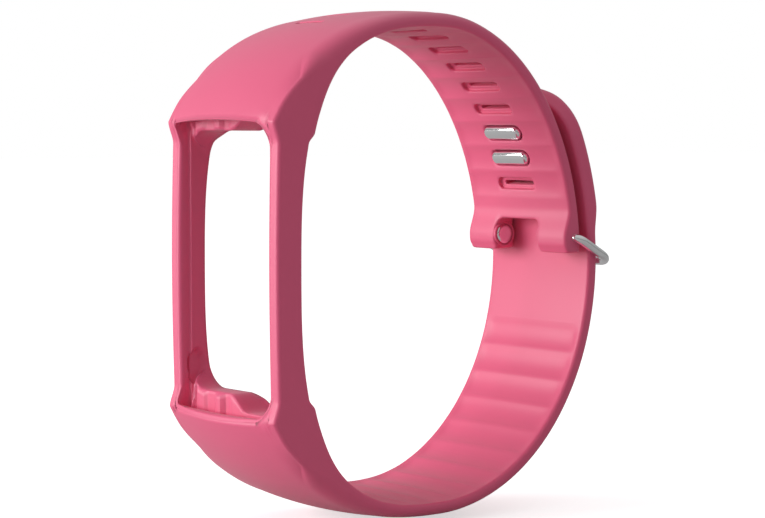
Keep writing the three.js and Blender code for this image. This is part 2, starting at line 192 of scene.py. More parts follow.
TAPER_LENGTH = 22  # the straps narrow over this length from their roots
TIP_LENGTH = 7.0
TIP_POWER = 2.6
LIP_Z = 17.1
LIP_ARCH = 0.35  # the lips' middles stand this much further out
FLARE = 2.2  # height over which the rails' front faces flare out to the lips
FLARE_POWER = 1.8
RAIL_FRONT = 25.4
RAIL_BOW = 0.3  # the rails' front faces fall back by this at the height below
RAIL_BOW_HEIGHT = 15.0
WINDOW_EDGE = 20.8  # the window's patch ends this far from the front, along the path
WINDOW_HALF = 10.4  # and this far from the middle, across it
CROWN_STOPS = [0, 20, 34, 60]
CROWN = [0.9, 0.9, 0.75, 0.6]
WING_END = 48  # the wings' outer curve is followed this far from the front
WING_SHOULDER = 0.7  # how far the wings fall away at their sides
WING_SHOULDER_WIDTH = 3.2
WING_SHOULDER_POWER = 2.5
WING_SHOULDER_START, WING_SHOULDER_FULL = 17.5, 22.0
SEARCH_REACH, SEARCH_HALVINGS = 14.0, 34
TIP_THINNING, TIP_THINNING_LENGTH = 1.1, 2.2
END_ROUNDING = 0.6


def half_width(s):
    """Half the width of the band's skin; the tail's tip narrows to a round end."""
    away = np.abs(s)
    width = lerp(CRADLE_HALF, STRAP_HALF, ramp(away, ROOT, ROOT + TAPER_LENGTH)) - SKIN_INSET
    tip = np.clip((TAIL_TIP + TIP_LENGTH - s) / TIP_LENGTH, 0, 1)
    return width * (1 - tip**TIP_POWER) ** (1 / TIP_POWER)


def lip_z(x):
    """Height of the lips' crests, which arch outwards in the middle."""
    return LIP_Z + LIP_ARCH * (1 - (np.asarray(x) / CRADLE_HALF) ** 2)


def wing_offset(x, s):
    """Distance out to the crowned outer curve of the wings, along the path's normal."""
    y, z, ny, nz = path.at(s)
    drop = crown(s) * (x / half_width(s)) ** 2
    reach, height = WING_REACH - drop, HALF_HEIGHT + THICKNESS - drop
    low, high = np.zeros_like(drop), np.full_like(drop, SEARCH_REACH)
    for _ in range(SEARCH_HALVINGS):
        middle = (low + high) / 2
        inside = (np.abs(y + ny * middle) / reach) ** WING_POWER
        inside += (np.abs(z + nz * middle) / height) ** WING_POWER
        low, high = np.where(inside < 1, middle, low), np.where(inside < 1, high, middle)
    return low


def crown(s):
    """How much lower the outer face is at its sides than in the middle."""
    return np.interp(np.abs(s), CROWN_STOPS, CROWN)


def outer_offset(x, s):
    """Distance from the path out to the outer face, along the path's normal."""
    x, s = np.broadcast_arrays(np.asarray(x, float), np.asarray(s, float))
    y, z, ny, nz = path.at(s)
    plain = THICKNESS - crown(s) * (x / np.maximum(half_width(s), 0.5)) ** 2
    front = np.abs(s) < WING_END
    wing = wing_offset(np.where(front, x, 0.0), np.where(front, s, WINDOW_EDGE))
    wing_z = np.abs(z + nz * wing)
    rail = (-(RAIL_FRONT - RAIL_BOW * (z / RAIL_BOW_HEIGHT) ** 2) - y) / np.minimum(ny, -0.3)
    flare = np.clip((wing_z - lip_z(x) + FLARE) / FLARE, 0, 1)
    side = np.clip((np.abs(x) - half_width(s) + WING_SHOULDER_WIDTH) / WING_SHOULDER_WIDTH, 0, 1)
    shoulder = WING_SHOULDER * side**WING_SHOULDER_POWER
    shoulder = shoulder * ramp(np.abs(s), WING_SHOULDER_START, WING_SHOULDER_FULL)
    cradle = lerp(rail, wing - shoulder, flare**FLARE_POWER)
    result = np.where(y < 0, np.where(front, cradle, plain), plain)
    tail = ramp(-s, -TAIL_BASE, -TAIL_BASE + 4)
    result = result + tail * (TAIL_THICKNESS - THICKNESS) - SKIN_INSET
    tip = np.clip((TAIL_TIP + TIP_THINNING_LENGTH - s) / TIP_THINNING_LENGTH, 0, 1)
    result = result - TIP_THINNING * (1 - np.sqrt(np.maximum(1 - tip**2, 0)))
    return result - rounding(END - s, END_ROUNDING)


def rounding(distance, radius):
    """How far a rounded edge of a radius falls away at a distance from its end."""
    inside = np.clip(radius - distance, 0, radius)
    return radius - np.sqrt(np.maximum(radius**2 - inside**2, 0))


LOWER_PITCH = 3.7
LOWER_COUNT = 13
SCALLOP_STOP = -distance_at(22.2, -8.4, -90, -60)
LOWER_SCALLOP_END = SCALLOP_STOP - LOWER_COUNT * LOWER_PITCH
UPPER_SCALLOP, LOWER_SCALLOP = 0.2, 0.3  # depths
BARREL = 0.18  # the inner face is this much further out at its sides
EAR_SWELL = 1.15  # the ears stand this far inwards
EAR_SWELL_FULL, EAR_SWELL_START = 1.8, 5.6  # from the end
EAR_ROUNDING = 1.3
SEAT_STEP, RIM_STEP = 0.12, -0.45  # the cradle's inner face beside the seat, and past its rims


def scallops(s):
    """Shallow hollows across the inner face, one for each slot above and evenly spaced below."""
    upper = (slot_distance(0) - s) / SLOT_PITCH + 0.5
    lower = (-s - LOWER_SCALLOP_END) / LOWER_PITCH
    up = UPPER_SCALLOP * scallop(upper) * ramp(s, ROOT - 6, ROOT) * (1 - ramp(s, END - 7.2, END - 6.6))
    down = LOWER_SCALLOP * scallop(lower) * ramp(-s, ROOT - 3, ROOT + 6)
    return up + down * (1 - ramp(-s, SCALLOP_STOP - 0.2, SCALLOP_STOP + 0.2))


def scallop(cells):
    f = cells - np.floor(cells)
    return 4 * f * (1 - f)


def inner_offset(x, s):
    """Distance from the path out to the inner face, along the path's normal."""
    x, s = np.broadcast_arrays(np.asarray(x, float), np.asarray(s, float))
    width = np.maximum(half_width(s), 0.5)
    edge = 1 - ramp(np.abs(x), width - 1.6, width - 0.4)
    barrel = BARREL * (x / width) ** 2
    swell = 1 - ramp(END - s, EAR_SWELL_FULL, EAR_SWELL_START)
    ears_in = -EAR_SWELL * swell + rounding(END - s, EAR_ROUNDING)
    z = np.abs(path.at(s)[1])
    step = lerp(SEAT_STEP, RIM_STEP, ramp(z, 14.5, 15.9)) * (1 - ramp(z, 17.5, 25.0))
    step = np.where(np.abs(s) < 30, step, 0.0)
    offset = scallops(s) * edge + barrel + np.where(s > 60, ears_in, 0) + step
    return offset + plate_pocket(x, s)


PLATE_HALF = 5.0
PLATE_RECESS = 0.25
PLATE_THICKNESS = 0.8
plate_low, plate_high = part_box("clasp_plate")


def plate_span():
    """Distances of the clasp plate's two ends along the tail."""
    start = distance_at(plate_high.y / MM, plate_low.z / MM, -110, -80)
    end = distance_at(plate_low.y / MM, plate_high.z / MM, -115, -85)
    return start, end


def plate_pocket(x, s):
    """Depth of the pocket in the tail's inner face that the clasp plate lies in."""
    start, end = plate_span()
    along = ramp(s, end - 0.3, end - 0.15) * (1 - ramp(s, start + 0.15, start + 0.3))
    across = 1 - ramp(np.abs(x), PLATE_HALF + 0.12, PLATE_HALF + 0.28)
    return (PLATE_RECESS + PLATE_THICKNESS + 0.05) * along * across


# ---------------------------------------------------------------- mesh building


class Skin:
    """Points and faces collected in rings, then made into one mesh."""

    def __init__(self):
        self.points, self.faces, self.count, self.caps = [], [], 0, []

    def add(self, points):
        self.points.append(np.asarray(points, float).reshape(-1, 3))
        start = self.count
        self.count += len(self.points[-1])
        return np.arange(start, self.count)

    def bridge(self, a, b, closed=True):
        if closed:
            a, b = np.append(a, a[0]), np.append(b, b[0])
        self.faces.append(np.stack([a[:-1], a[1:], b[1:], b[:-1]], -1))

    def cap(self, ring):
        self.caps.append([int(i) for i in ring])

    def make(self, name, material, smooth_caps=False):
        mesh = bpy.data.meshes.new(name)
        points = np.concatenate(self.points) * MM
        faces = [list(map(int, f)) for f in np.concatenate(self.faces)] if self.faces else []
        mesh.from_pydata(points.tolist(), [], faces + self.caps)
        mesh.validate()
        mesh.polygons.foreach_set("use_smooth", [True] * len(mesh.polygons))
        if self.caps and not smooth_caps:
            rims = {frozenset(e) for ring in self.caps for e in zip(ring, ring[1:] + ring[:1])}
            sharp = [frozenset(e.vertices) in rims for e in mesh.edges]
            attribute = mesh.attributes.new("sharp_edge", "BOOLEAN", "EDGE")
            attribute.data.foreach_set("value", sharp)
        mesh.materials.append(material)
        obj = bpy.data.objects.new(name, mesh)
        bpy.context.collection.objects.link(obj)
        return obj


CENTRE, SHOULDER, ARC, WALL = 64, 8, 6, 18  # faces in each stretch of a cross-section


EDGE_STOPS = [0, 20.8, 24, 30, 45, 70, 110]
EDGE_FLAT = [0.5, 0.55, 3.0, 3.4, 2.2, 1.2, 1.2]
EDGE_FALL = [0.5, 0.6, 2.0, 1.35, 1.1, 0.8, 1.0]
INNER_EDGE_STOPS = [0, 14, 18, 110]
INNER_EDGE = [0.35, 0.35, 0.6, 0.45]


def edge_flat(s):
    """Width of the rounded edges of the outer face."""
    return np.interp(np.abs(s), EDGE_STOPS, EDGE_FLAT)


SLOT_PATCH = 4.2  # half width of the columns that the slots are cut into
EAR_PATCH_GROWTH = 0.7  # the notch between the ears takes this much more
TAIL_PATCH_GROWTH = 1.5
NOTCH_PATCH = 5.1  # length of the notch's patch, from the end


def patch_half(s):
    """Half width of the central columns, which the window and slots are cut into."""
    away = np.abs(s)
    half = lerp(WINDOW_HALF, SLOT_PATCH, ramp(away, WINDOW_EDGE, ROOT - 1))
    half = half + EAR_PATCH_GROWTH * ramp(s, END - 6.8, END - 5.2)
    half = half + TAIL_PATCH_GROWTH * ramp(-s, -TAIL_BASE, -TAIL_BASE + 3)
    limit = np.where(away < ROOT, half_width(s) - edge_flat(s) - 0.6, 0.6 * half_width(s))
    return np.minimum(half, limit)


def cross_sections(s):
    """Strap coordinates of a closed loop at each distance: (across, out), rows by columns."""
    s = np.asarray(s, float)[:, None]
    width = half_width(s)
    away = np.abs(s)
    fall = np.interp(away, EDGE_STOPS, EDGE_FALL)
    flat = np.minimum(edge_flat(s), 0.45 * width)
    tip = np.clip((TAIL_TIP + TIP_LENGTH - s) / TIP_LENGTH, 0, 1)
    fall = np.where(tip > 0, np.minimum(fall, lerp(9.0, TIP_THINNING, tip)), fall)
    soft = np.minimum(np.interp(away, INNER_EDGE_STOPS, INNER_EDGE), 0.3 * width)
    outer_edge, inner_edge, centre = width - flat, width - soft, patch_half(s)
    top = outer_offset(outer_edge, s)
    bottom = inner_offset(inner_edge, s)
    fall = np.minimum(fall, 0.9 * (top - bottom - soft))
    turn = np.arange(1, ARC + 1) / ARC * math.pi / 2
    along = np.arange(1, SHOULDER + 1) / SHOULDER
    x_shoulder = lerp(centre, outer_edge, along)
    x_inner = lerp(inner_edge, centre, along[:-1])
    down = np.arange(1, WALL + 1) / WALL
    right_x = [
        x_shoulder,
        outer_edge + flat * np.sin(turn),
        width + 0 * down,
        width - soft * (1 - np.cos(turn)),
        x_inner,
    ]
    right_out = [
        outer_offset(x_shoulder, s),
        top - fall * (1 - np.cos(turn)),
        lerp(top - fall, bottom + soft, down),
        bottom + soft * (1 - np.sin(turn)),
        inner_offset(x_inner, s),
    ]
    right_x, right_out = np.hstack(right_x), np.hstack(right_out)
    spread = np.linspace(-1, 1, CENTRE + 1)
    x_outer, x_back = centre * spread, -centre * spread
    x = np.hstack([x_outer, right_x, x_back, -right_x[:, ::-1]])
    out = np.hstack([outer_offset(x_outer, s), right_out, inner_offset(x_back, s), right_out[:, ::-1]])
    y, z, ny, nz = path.at(s)
    return x + pad_pocket(x, y + ny * out, z + nz * out), out


pad_low, pad_high = (np.array(corner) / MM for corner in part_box("button_pad"))
PAD_CLEARANCE = 0.4
PAD_POCKET = 1.05
PAD_DEPTH = 0.38
# How far in from the outline and how far down from the crest each ring of the pad lies
PAD_DOME = ((0.3, 1.0), (0.0, 0.9), (0.0, 0.45), (0.03, 0.3), (0.1, 0.18), (0.22, 0.1), (0.4, 0.04),
            (0.6, 0.01), (0.78, 0.0))


def pad_outline(grow, count=64):
    """The pad's upright stadium outline, grown by a margin: points (y, z)."""
    middle, half = (pad_low + pad_high) / 2, (pad_high - pad_low) / 2 + grow
    turn = np.linspace(0, 2 * math.pi, count, endpoint=False)
    y = middle[1] + half[1] * np.cos(turn)
    z = middle[2] + half[1] * np.sin(turn) + np.sign(np.sin(turn)) * (half[2] - half[1])
    return y, z


def pad_pocket(x, y, z):
    """The pocket in the far rail's outer wall that the button pad stands in."""
    middle, half = (pad_low + pad_high) / 2, (pad_high - pad_low) / 2
    beyond = np.maximum(np.abs(z - middle[2]) - (half[2] - half[1]), 0)
    away = np.hypot(y - middle[1], beyond) - half[1] - PAD_CLEARANCE
    return PAD_POCKET * (1 - ramp(away, -0.15, 0.05)) * (x < -CRADLE_HALF + 0.3)


SIDE = 2 * SHOULDER - 1 + 2 * ARC + WALL  # columns on each side, from outer to inner patch
INNER_START = CENTRE + 1 + SIDE


def perimeter(index, a, b):
    """Vertex numbers round a rectangle of the patch, on the outer and inner faces."""
    columns = np.arange(CENTRE + 1)
    rows = np.arange(a, b + 1)

    def walk(pick):
        return np.concatenate([
            [index[a, pick(c)] for c in columns[:-1]],
            [index[r, pick(CENTRE)] for r in rows[:-1]],
            [index[b, pick(c)] for c in columns[:0:-1]],
            [index[r, pick(0)] for r in rows[:0:-1]],
        ]).astype(int)

    return walk(lambda c: c), walk(lambda c: INNER_START + CENTRE - c)


def rounded(fx, fs, half_x, half_s, radius):
    """Points on a rectangle's edge, given as shares of its half sizes, with its corners rounded."""
    x, s = fx * half_x, fs * half_s
    cx, cs = half_x - radius, half_s - radius
    over_x, over_s = np.abs(x) - cx, np.abs(s) - cs
    corner = (over_x > 0) & (over_s > 0)
    length = np.where(corner, np.hypot(over_x, over_s), 1)
    x = np.where(corner, np.sign(x) * (cx + over_x / length * radius), x)
    s = np.where(corner, np.sign(s) * (cs + over_s / length * radius), s)
    return x, s


def strip(skin, rings, first, last, closed=True):
    """Joins a list of rings of points between two rings of vertex numbers."""
    previous = first
    for points in rings:
        ring = skin.add(points)
        skin.bridge(previous, ring, closed)
        previous = ring
    skin.bridge(previous, last, closed)


FILLET_TURNS = np.radians([15, 45, 75, 90])
# Half length and half height of the slots' slits and of the recesses round them
EMPTY_SLIT, STUD_SLIT = (2.75, 0.26), (3.5, 0.9)
EMPTY_RECESS, STUD_RECESS = (3.6, 0.74), (3.64, 1.06)
RECESS_DEPTH = 0.5
SLIT_SOFT, RECESS_SOFT = 0.12, 0.16


def slot_rings(fx, fs, middle, centre, cell, stud):
    """Rings of a slot: outer face, slit, recess floor, recess wall, inner face."""
    slit = STUD_SLIT if stud else EMPTY_SLIT
    recess = STUD_RECESS if stud else EMPTY_RECESS
    soft, rings = SLIT_SOFT, []

    def surface(half_x, half_s, radius, height):
        x, s = rounded(fx, fs, half_x, half_s, radius)
        rings.append(path.point(x, s + middle, height(x, s + middle)))

    for t in (0.25, 0.5, 0.75, 0.92):
        half_x, half_s = lerp(centre, slit[0] + soft, t), lerp(cell / 2, slit[1] + soft, t)
        surface(half_x, half_s, (slit[1] + soft) * t, outer_offset)
    for turn in FILLET_TURNS:
        grow = soft * (1 - math.sin(turn))
        fall = soft * (1 - math.cos(turn))
        surface(slit[0] + grow, slit[1] + grow, slit[1] + grow - 1e-3,
                lambda x, s: outer_offset(x, s) - fall)

    def floor(x, s):
        return inner_offset(x, s) + RECESS_DEPTH

    for t in (0.4, 0.8):
        surface(slit[0], slit[1], slit[1] - 1e-3,
                lambda x, s: lerp(outer_offset(x, s) - soft, floor(x, s) + soft, t))
    for turn in FILLET_TURNS[::-1]:
        grow = soft * (1 - math.sin(turn))
        rise = soft * (1 - math.cos(turn))
        surface(slit[0] + grow, slit[1] + grow, slit[1] + grow - 1e-3,
                lambda x, s: floor(x, s) + rise)
    for t in (0.5, 1.0):
        half_x = lerp(slit[0] + soft, recess[0] - soft, t)
        half_s = lerp(slit[1] + soft, max(recess[1] - soft, slit[1] + soft + 0.02), t)
        surface(half_x, half_s, half_s - 1e-3, floor)
    for turn in FILLET_TURNS:
        shrink = soft * (1 - math.sin(turn))
        rise = soft * (1 - math.cos(turn))
        half_s = max(recess[1] - shrink, slit[1] + soft + 0.03)
        surface(recess[0] - shrink, half_s, half_s - 1e-3, lambda x, s: floor(x, s) - rise)
    for turn in FILLET_TURNS[::-1]:
        grow = RECESS_SOFT * (1 - math.sin(turn))
        rise = RECESS_SOFT * (1 - math.cos(turn))
        surface(recess[0] + grow, recess[1] + grow, recess[1] + grow - 1e-3,
                lambda x, s: inner_offset(x, s) + rise)
    for t in (0.3, 0.65):
        half_x = lerp(recess[0] + RECESS_SOFT, centre, t)
        half_s = lerp(recess[1] + RECESS_SOFT, cell / 2, t)
        surface(half_x, half_s, (recess[1] + RECESS_SOFT) * (1 - t), inner_offset)
    return rings


SEAT_HALF = 9.5
LEDGE = 0.4  # the seat's ledge narrows the rear opening by this on each side
LEDGE_Y = -23.9
REAR_Y = -22.0
UNDERCUT_Z = 18.0
RIM_TOP, RIM_BOTTOM = 16.1, 14.8
NOTCH_TOP, NOTCH_BOTTOM = 1.3, 1.95  # how much further out the rims are in the connector notch
SIDE_SOFT, REAR_SOFT = 0.6, 0.35
# How far in and how far back each ring of the lips' bevel lies
LIP_BEVEL = ((0.40, 0.0), (0.37, 0.03), (0.28, 0.11), (0.18, 0.20), (0.06, 0.31), (0.0, 0.42))
TOP_BEVEL, BOTTOM_BEVEL = 0.15, 0.65  # share of the bevel on each lip
NEAR_CORNER, FAR_CORNER = 1.4, 0.5  # radii of the window's front corners
NEAR_REAR_CORNER, REAR_CORNER = 1.6, 3.0  # and of the rear opening's
CORNER_RUN = 3.0  # the rails' edges turn into the lips' over this length
FAR_SPREAD = 0.2  # the far corners are this much wider
CORNER_REACH = 17.0


def window_lip():
    """Distance along the path where the wings' curve is as high as the lips."""
    s = np.linspace(13, 18, 400)
    _, z, _, nz = path.at(s)
    return float(np.interp(LIP_Z, z + nz * wing_offset(np.zeros_like(s), s), s))


LIP = window_lip()


def plateau(x, start, end, soft):
    """1 between two places, falling softly to 0 on both sides."""
    return ramp(x, start - soft, start) * (1 - ramp(x, end, end + soft))


# Height, the two sides and the softness of each rib on the flanges at the ends of the seat
RIBS = ((0.45, -8.9, -8.3, 0.22), (0.25, -7.6, -6.0, 0.22), (0.5, -3.3, -1.9, 0.22), (0.15, -0.2, 2.1, 0.5))


def rib_height(x):
    return sum(height * plateau(x, start, end, soft) for height, start, end, soft in RIBS)


POCKET_Y, POCKET_Z = -23.2, -12.4
POCKET_WIDTH, POCKET_HEIGHT = 1.12, 2.35
POCKET_DEPTH = 0.6
WAIST_Z, WAIST, WAIST_LENGTH = -13.1, 0.22, 0.5


def pocket_depth(y, z):
    """The button's pocket inside the far rail: an oval with a narrower waist."""
    width = POCKET_WIDTH - WAIST * np.exp(-(((z - WAIST_Z) / WAIST_LENGTH) ** 2))
    away = ((z - POCKET_Z) / POCKET_HEIGHT) ** 2 + ((y - POCKET_Y) / width) ** 2
    return POCKET_DEPTH * (1 - ramp(away, 0.72, 1.05))


def on_inner_face(x, z, out=0.0):
    """Points on the cradle's inner face above or below the wrist centre, moved outwards."""
    s = np.interp(z, path.z[np.abs(path.s) < 25], path.s[np.abs(path.s) < 25])
    return path.point(x, s, inner_offset(x, s) + out)


def window_rings(fx, fs):
    """Rings of the tracker window: front face, lips, seat with its flange and ledge, rear opening."""
    rings = []
    near, upper, ends = fx > 0, fs > 0, np.abs(fs) > 0.9999
    near_lip = ramp(np.abs(fs) * LIP, LIP - CORNER_RUN, LIP)
    turn_in = np.where(ends, 1.0, near_lip)
    corner = np.where(near, NEAR_CORNER, FAR_CORNER)
    bevel = np.where(upper, TOP_BEVEL, BOTTOM_BEVEL)
    lip = LIP - LIP_BEVEL[0][0] * bevel
    soft = lerp(SIDE_SOFT, LIP_BEVEL[0][0] * bevel, turn_in)
    spread = np.where(near, 0.0, FAR_SPREAD * near_lip)

    def on_front(half_x, half_s, radius, arch=1.0, out=None):
        x, s = rounded(fx, fs, half_x, half_s, radius)
        s = s + np.sign(s) * (lip_z(x) - LIP_Z) * turn_in * arch
        out = outer_offset(x, s) if out is None else out
        rings.append(path.point(x, s, out))
        return rings[-1], out

    for t in (0.15, 0.35, 0.55, 0.75, 0.9, 1.0):
        front, out = on_front(lerp(WINDOW_HALF, SEAT_HALF + spread + soft, t),
                              lerp(WINDOW_EDGE, lip + soft, t), (corner + soft) * t + 1e-3, t)
    for turn, (lip_grow, lip_fall) in zip(np.radians([0, 18, 36, 54, 72, 90]), LIP_BEVEL):
        grow = lerp(SIDE_SOFT * (1 - math.sin(turn)), lip_grow * bevel, turn_in)
        fall = lerp(SIDE_SOFT * (1 - math.cos(turn)), lip_fall * bevel, turn_in)
        front = on_front(SEAT_HALF + spread + grow, lip + grow, corner + grow, out=out - fall)[0]
    front_y = front[:, 1]

    side_y = np.concatenate([[-24.6, -24.5, -24.4, -24.3, -24.1, -23.95, -23.9, -23.88],
                             np.linspace(-23.8, REAR_Y, 12)])
    side_x = np.concatenate([np.full(5, SEAT_HALF), [SEAT_HALF - 0.05, SEAT_HALF - 0.35],
                             np.full(13, SEAT_HALF - LEDGE)])
    end_y = np.concatenate([[-26.0, -25.4, -25.1, -24.95, -24.7, -24.0], np.full(10, LEDGE_Y),
                            [-23.8, -23.3, -22.7, REAR_Y]])
    inward = np.concatenate([np.zeros(6), np.linspace(0, 0.97, 10), np.ones(4)])
    edge_z = np.abs(front[:, 2]) - (lip_z(front[:, 0]) - LIP_Z)
    lip_back = np.where(upper, edge_z[ends & upper].mean(), edge_z[ends & ~upper].mean())
    end_z = [lip_back, lip_back, lip_back + 0.1, LIP_Z + 0.5, UNDERCUT_Z, UNDERCUT_Z]
    for k in range(len(side_y)):
        half_x = side_x[k] + spread * (1 - min(1, k / 5))
        share = inward[k]
        rear = np.where(near, NEAR_REAR_CORNER, REAR_CORNER)
        radius = lerp(corner, rear, min(1, max(0, k - 4) / 6))
        x = rounded(fx, fs, half_x, CORNER_REACH, radius)[0]
        rim = rim_height(x, upper)
        reach = lerp(end_z[k] + (lip_z(x) - LIP_Z) * (k < 4) if k < 6 else UNDERCUT_Z, rim, share)
        x, z = rounded(fx, fs, half_x, reach, radius)
        y = lerp(side_y[k], end_y[k], turn_in)
        y = y - np.where(ends, rib_height(x) * plateau(share, 0.12, 0.86, 0.1), 0)
        y = np.maximum(y, front_y + 0.06 * (k + 1)) if k < 4 else y
        last = on_inner_face(x, z, REAR_SOFT)[:, 1]
        y = lerp(y, last, ramp(y, LEDGE_Y + 0.1, REAR_Y)) if k > 9 else y
        x = x - np.where(near, 0, pocket_depth(y, z) * (1 - turn_in))
        rings.append(np.stack([x, y, z], -1))
    rim = rim_height(rounded(fx, fs, side_x[-1], CORNER_REACH, radius)[0], upper)
    for turn in FILLET_TURNS[::-1]:
        grow, rise = REAR_SOFT * (1 - math.sin(turn)), REAR_SOFT * (1 - math.cos(turn))
        x, z = rounded(fx, fs, side_x[-1] + grow, rim + grow, radius + grow)
        rings.append(on_inner_face(x, z, rise))
    for t in (0.25, 0.5, 0.75):
        half_x = lerp(side_x[-1] + REAR_SOFT, WINDOW_HALF, t)
        half_z = lerp(rim + REAR_SOFT, float(path.at(WINDOW_EDGE)[1]), t)
        x, z = rounded(fx, fs, half_x, half_z, (radius + REAR_SOFT) * (1 - t))
        rings.append(on_inner_face(x, z))
    return rings


def rim_height(x, upper):
    """Height of the rear opening's rims, with the connector notch in both."""
    top = RIM_TOP + NOTCH_TOP * ramp(x, -0.2, 3.0)
    bottom = RIM_BOTTOM + NOTCH_BOTTOM * ramp(x, -0.6, 3.2)
    return np.where(upper, top, bottom)


def rows_between(knots, step):
    parts = [np.linspace(a, b, max(1, round((b - a) / step)) + 1)[:-1] for a, b in zip(knots, knots[1:])]
    return np.append(np.concatenate(parts), knots[-1])


def band_skin(name, rows, holes=(), finish=None, caps=(True, True)):
    """A stretch of the band between two distances. holes are (from, to, rings) along the patch."""
    skin = Skin()
    x, out = cross_sections(rows)
    count = x.shape[1]
    index = skin.add(path.point(x, rows[:, None], out)).reshape(len(rows), count)
    keep = np.ones((len(rows) - 1, count), bool)
    for low, high, rings in holes:
        a, b = np.argmin(np.abs(rows - low)), np.argmin(np.abs(rows - high))
        keep[a:b, :CENTRE] = False
        keep[a:b, INNER_START:INNER_START + CENTRE] = False
        outer, inner = perimeter(index, a, b)
        fx = x.reshape(-1)[outer] / patch_half(np.repeat(rows, count)[outer])
        fs = (np.repeat(rows, count)[outer] - (low + high) / 2) / ((high - low) / 2)
        strip(skin, rings(fx, fs), outer, inner)
    if finish:
        finish(skin, index, rows, keep)
    following = np.roll(index, -1, 1)
    quads = np.stack([index[:-1], following[:-1], following[1:], index[1:]], -1)
    skin.faces.append(quads[keep])
    if caps[0]:
        skin.cap(index[0, ::-1])
    if caps[1]:
        skin.cap(index[-1])
    obj = skin.make(name, silicone)
    return obj


# ---------------------------------------------------------------- materials


def new_material(name):
    material = bpy.data.materials.new(name)
    material.use_nodes = True
    nodes, links = material.node_tree.nodes, material.node_tree.links
    return material, nodes, links, nodes["Principled BSDF"]


def silicone_material():
    material, nodes, links, shader = new_material("satin_silicone")
    place = nodes.new("ShaderNodeTexCoord")
    cloud = nodes.new("ShaderNodeTexNoise")
    cloud.inputs["Scale"].default_value = 90
    cloud.inputs["Detail"].default_value = 4
    links.new(place.outputs["Object"], cloud.inputs["Vector"])
    tint = nodes.new("ShaderNodeMix")
    tint.data_type = "RGBA"
    tint.inputs["A"].default_value = (0.780, 0.104, 0.222, 1)
    tint.inputs["B"].default_value = (0.820, 0.112, 0.238, 1)
    links.new(cloud.outputs["Fac"], tint.inputs["Factor"])
    links.new(tint.outputs["Result"], shader.inputs["Base Color"])
    spread = nodes.new("ShaderNodeMapRange")
    spread.inputs["To Min"].default_value = 0.40
    spread.inputs["To Max"].default_value = 0.50
    links.new(cloud.outputs["Fac"], spread.inputs["Value"])
    links.new(spread.outputs["Result"], shader.inputs["Roughness"])
    grain = nodes.new("ShaderNodeTexNoise")
    grain.inputs["Scale"].default_value = 9000
    grain.inputs["Detail"].default_value = 2
    links.new(place.outputs["Object"], grain.inputs["Vector"])
    bump = nodes.new("ShaderNodeBump")
    bump.inputs["Strength"].default_value = 0.06
    bump.inputs["Distance"].default_value = 0.00005
    links.new(grain.outputs["Fac"], bump.inputs["Height"])
    links.new(bump.outputs["Normal"], shader.inputs["Normal"])
    shader.inputs["Specular IOR Level"].default_value = 0.5
    shader.inputs["Sheen Weight"].default_value = 0.12
    shader.inputs["Sheen Roughness"].default_value = 0.5
    return material


def steel_material():
    material, nodes, links, shader = new_material("polished_steel")
    place = nodes.new("ShaderNodeTexCoord")
    haze = nodes.new("ShaderNodeTexNoise")
    haze.inputs["Scale"].default_value = 700
    haze.inputs["Detail"].default_value = 5
    links.new(place.outputs["Object"], haze.inputs["Vector"])
    spread = nodes.new("ShaderNodeMapRange")
    spread.inputs["To Min"].default_value = 0.03
    spread.inputs["To Max"].default_value = 0.11
    links.new(haze.outputs["Fac"], spread.inputs["Value"])
    links.new(spread.outputs["Result"], shader.inputs["Roughness"])
    tone = nodes.new("ShaderNodeMix")
    tone.data_type = "RGBA"
    tone.inputs["A"].default_value = (0.82, 0.83, 0.84, 1)
    tone.inputs["B"].default_value = (0.90, 0.90, 0.90, 1)
    links.new(haze.outputs["Fac"], tone.inputs["Factor"])
    links.new(tone.outputs["Result"], shader.inputs["Base Color"])
    shader.inputs["Metallic"].default_value = 1.0
    return material


silicone = silicone_material()
steel = steel_material()


# ---------------------------------------------------------------- silicone pieces


def bend(obj, joint_name, reach=5.5):
    """Finds a stretch of the path on both sides of a joint, which is not used, and bakes the piece's
    transform.
    """
    joint = JOINTS[joint_name]
    y, z = joint["pos_m"][1] / MM, joint["pos_m"][2] / MM
    limits = (0, 130) if "upper" in joint_name else (-130, 0)
    middle = distance_at(y, z, *limits)
    sign = 1 if middle > 0 else -1
    start, end = (path.point(0, middle + sign * k * reach, THICKNESS / 2)[0] * MM for k in (-1, 1))
    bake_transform(obj)


def cradle():
    knots = [-CRADLE_CUT, -WINDOW_EDGE, -16.6, -14.2, 14.2, 16.6, WINDOW_EDGE, CRADLE_CUT]
    steps = [0.35, 0.3, 0.12, 0.3, 0.12, 0.3, 0.35]
    rows = np.concatenate([
        rows_between([a, b], step)[:-1] for a, b, step in zip(knots, knots[1:], steps)
    ] + [[CRADLE_CUT]])
    obj = band_skin("cradle_skin", rows, [(-WINDOW_EDGE, WINDOW_EDGE, window_rings)])
    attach(obj, "cradle")
    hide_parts("tracker_frame")


def slot_hole(number):
    middle = slot_distance(number)
    return (
        middle - SLOT_PITCH / 2,
        middle + SLOT_PITCH / 2,
        lambda fx, fs: slot_rings(fx, fs, middle, SLOT_PATCH, SLOT_PITCH, number in STUD_SLOTS),
    )


